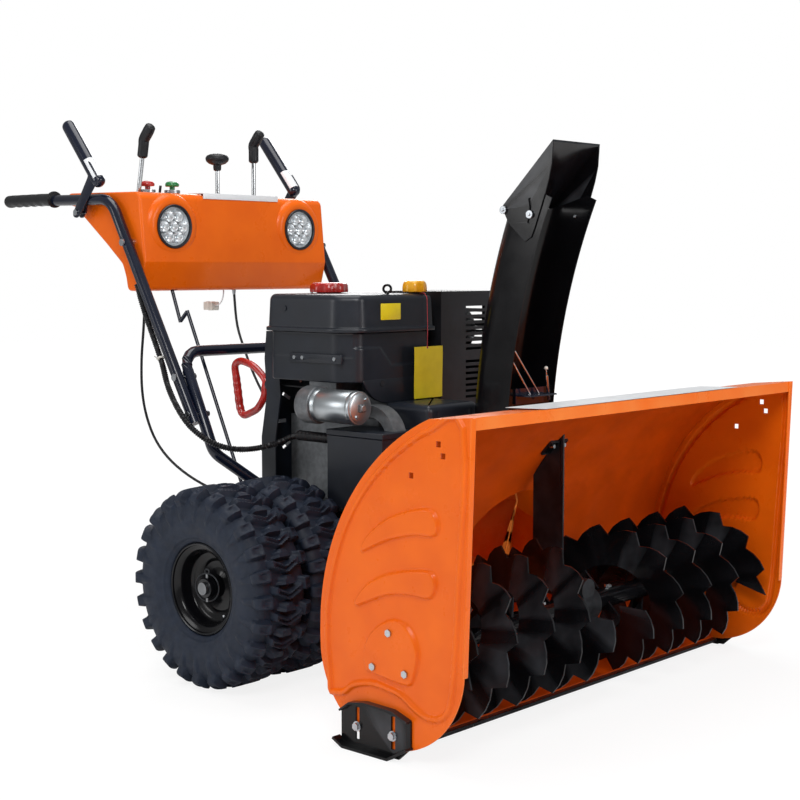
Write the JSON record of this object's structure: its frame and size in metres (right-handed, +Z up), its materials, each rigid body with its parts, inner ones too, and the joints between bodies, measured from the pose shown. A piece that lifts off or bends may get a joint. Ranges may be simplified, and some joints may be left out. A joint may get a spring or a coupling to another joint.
{
  "type": "two stage snowblower",
  "caption": "Walk-behind two stage snowblower with a toothed auger, turning discharge chute, paired lugged tyres, lamp console and tubular handles.",
  "frame": {"origin": "on the ground at the middle of the bounding box", "axes": "+Z up, -Y the direction of travel, -X the operator's right"},
  "size_m": [1.1086, 1.65, 1.1758],
  "materials": {
    "orange_powder_coat": "gloss",
    "black_powder_coat": "gloss",
    "tube_powder_coat": "gloss",
    "zinc_plated_steel": "satin",
    "cast_aluminium": "as cast",
    "belt_rubber": "matte",
    "tyre_rubber": "matte",
    "grip_rubber": "matte",
    "moulded_black": "matte",
    "heat_shield_paint": "matte",
    "red_plastic": "gloss",
    "green_plastic": "gloss",
    "yellow_plastic": "gloss",
    "lamp_parts": "gloss",
    "cable_jacket": "satin",
    "tag_card": "matte",
    "tag_thread": "matte",
    "connector_nylon": "matte"
  },
  "bodies": {
    "machine": {"side_plate_right": "orange_powder_coat", "side_plate_left": "orange_powder_coat", "auger_housing": "orange_powder_coat", "scraper_bar": "black_powder_coat", "impeller_housing": "orange_powder_coat", "shaft_bearings": "zinc_plated_steel", "fasteners": "zinc_plated_steel", "gearbox_case": "cast_aluminium", "gearbox_support": "black_powder_coat", "drive_belt": "belt_rubber", "tractor_frame": "black_powder_coat", "upper_handle_right": "tube_powder_coat", "upper_handle_left": "tube_powder_coat", "lower_handle": "tube_powder_coat", "grips": "grip_rubber", "console": "orange_powder_coat", "console_fittings": "zinc_plated_steel", "lamps": "lamp_parts", "engine": "cast_aluminium", "engine_shroud": "moulded_black", "fuel_tank": "moulded_black", "recoil_housing": "moulded_black", "starter_motor": "zinc_plated_steel", "exhaust": "heat_shield_paint", "belt_cover": "moulded_black", "battery_box": "moulded_black", "control_cables": "cable_jacket", "harness": "cable_jacket", "tag_string": "tag_thread", "hang_tag": "tag_card", "connector_lead": "cable_jacket", "connector": "connector_nylon"},
    "axle": {"wheel_axle": "zinc_plated_steel", "rims": "black_powder_coat", "tyres_right": "tyre_rubber", "tyres_left": "tyre_rubber"},
    "auger": {"auger_drive": "zinc_plated_steel", "auger_right": "black_powder_coat", "auger_left": "black_powder_coat"},
    "impeller_rotor": {"impeller": "orange_powder_coat", "impeller_drive": "zinc_plated_steel"},
    "crank": {"engine_pulley": "zinc_plated_steel"},
    "chute_body": {"chute": "black_powder_coat", "deflector_bolts": "zinc_plated_steel", "cable_bracket": "tube_powder_coat"},
    "chute_cap": {"deflector": "black_powder_coat"},
    "skid_right": {"skid_shoe_right": "black_powder_coat"},
    "skid_left": {"skid_shoe_left": "black_powder_coat"},
    "clutch_right": {"clutch_lever_right": "tube_powder_coat"},
    "clutch_left": {"clutch_lever_left": "tube_powder_coat"},
    "speed_arm": {"speed_lever": "grip_rubber"},
    "shift_link": {"shift_rod": "tube_powder_coat"},
    "chute_arm": {"chute_lever": "grip_rubber"},
    "knob": {"chute_knob": "grip_rubber"},
    "stop_key": {"stop_button": "red_plastic"},
    "start_key": {"start_button": "green_plastic"},
    "lamp_toggle": {"lamp_switch": "moulded_black"},
    "fuel_lid": {"fuel_cap": "red_plastic"},
    "oil_lid": {"oil_cap": "yellow_plastic"},
    "recoil": {"recoil_handle": "red_plastic"}
  },
  "joints": [
    {"name": "axle_spin", "type": "hinge", "parent": "machine", "child": "axle", "pos_m": [0, -0.085, 0.203], "axis": [1, 0, 0], "continuous": true},
    {"name": "impeller_spin", "type": "hinge", "parent": "machine", "child": "impeller_rotor", "pos_m": [0, -0.4, 0.212], "axis": [0, 1, 0], "continuous": true},
    {"name": "auger_spin", "type": "hinge", "parent": "machine", "child": "auger", "pos_m": [0, -0.65, 0.176], "axis": [1, 0, 0], "continuous": true},
    {"name": "crank_spin", "type": "hinge", "parent": "machine", "child": "crank", "pos_m": [0, -0.3, 0.44], "axis": [0, 1, 0], "continuous": true},
    {"name": "chute_turn", "type": "hinge", "parent": "machine", "child": "chute_body", "pos_m": [0.075, -0.443, 0.45], "axis": [0, 0, 1], "range_deg": [-95, 95]},
    {"name": "deflector_tilt", "type": "hinge", "parent": "chute_body", "child": "chute_cap", "pos_m": [0.075, -0.468, 0.952], "axis": [1, 0, 0], "range_deg": [-12, 25]},
    {"name": "skid_right_height", "type": "slide", "parent": "machine", "child": "skid_right", "axis": [0, 0, 1], "range_m": [-0.028, 0.018]},
    {"name": "skid_left_height", "type": "slide", "parent": "machine", "child": "skid_left", "axis": [0, 0, 1], "range_m": [-0.028, 0.018]},
    {"name": "clutch_right_pull", "type": "hinge", "parent": "machine", "child": "clutch_right", "pos_m": [-0.3, 0.529, 0.963], "axis": [1, 0, 0], "range_deg": [-58, 0], "stiffness_Nm_per_rad": 1.5, "springref_deg": 34.38},
    {"name": "clutch_left_pull", "type": "hinge", "parent": "machine", "child": "clutch_left", "pos_m": [0.3, 0.529, 0.963], "axis": [1, 0, 0], "range_deg": [-58, 0], "stiffness_Nm_per_rad": 1.5, "springref_deg": 34.38},
    {"name": "speed_select", "type": "hinge", "parent": "machine", "child": "speed_arm", "pos_m": [-0.24, 0.417, 0.9], "axis": [1, 0, 0], "range_deg": [-18, 18]},
    {"name": "shift_rod_travel", "type": "slide", "parent": "machine", "child": "shift_link", "axis": [0, 0.4276, 0.904], "range_m": [-0.0145, 0.0145]},
    {"name": "chute_lever_swing", "type": "hinge", "parent": "machine", "child": "chute_arm", "pos_m": [0.072, 0.356, 0.9], "axis": [1, 0, 0], "range_deg": [-25, 0]},
    {"name": "chute_knob_pull", "type": "slide", "parent": "machine", "child": "knob", "axis": [0, 0, 1], "range_m": [0, 0.025]},
    {"name": "stop_press", "type": "slide", "parent": "machine", "child": "stop_key", "axis": [0, 0, 1], "range_m": [-0.006, 0], "stiffness_N_per_m": 800, "springref_m": 0.004},
    {"name": "start_press", "type": "slide", "parent": "machine", "child": "start_key", "axis": [0, 0, 1], "range_m": [-0.006, 0], "stiffness_N_per_m": 800, "springref_m": 0.004},
    {"name": "lamp_toggle_flip", "type": "hinge", "parent": "machine", "child": "lamp_toggle", "pos_m": [-0.188, 0.387, 1.002], "axis": [1, 0, 0], "range_deg": [-15, 15]},
    {"name": "fuel_cap_turn", "type": "hinge", "parent": "machine", "child": "fuel_lid", "pos_m": [-0.06, -0.03, 0.8], "axis": [0, 0, 1], "range_deg": [0, 90]},
    {"name": "oil_cap_turn", "type": "hinge", "parent": "machine", "child": "oil_lid", "pos_m": [0.038, -0.192, 0.79], "axis": [0, 0, 1], "range_deg": [0, 180]},
    {"name": "recoil_pull", "type": "slide", "parent": "machine", "child": "recoil", "axis": [0, 1, 0], "range_m": [0, 0.09], "stiffness_N_per_m": 60, "springref_m": -0.05}
  ],
  "couplings": [
    {"joint": "auger_spin", "follows": "impeller_spin", "ratio": 0.05},
    {"joint": "crank_spin", "follows": "impeller_spin", "ratio": 2.0256},
    {"joint": "shift_rod_travel", "follows": "speed_select", "m_per_rad": 0.045}
  ]
}
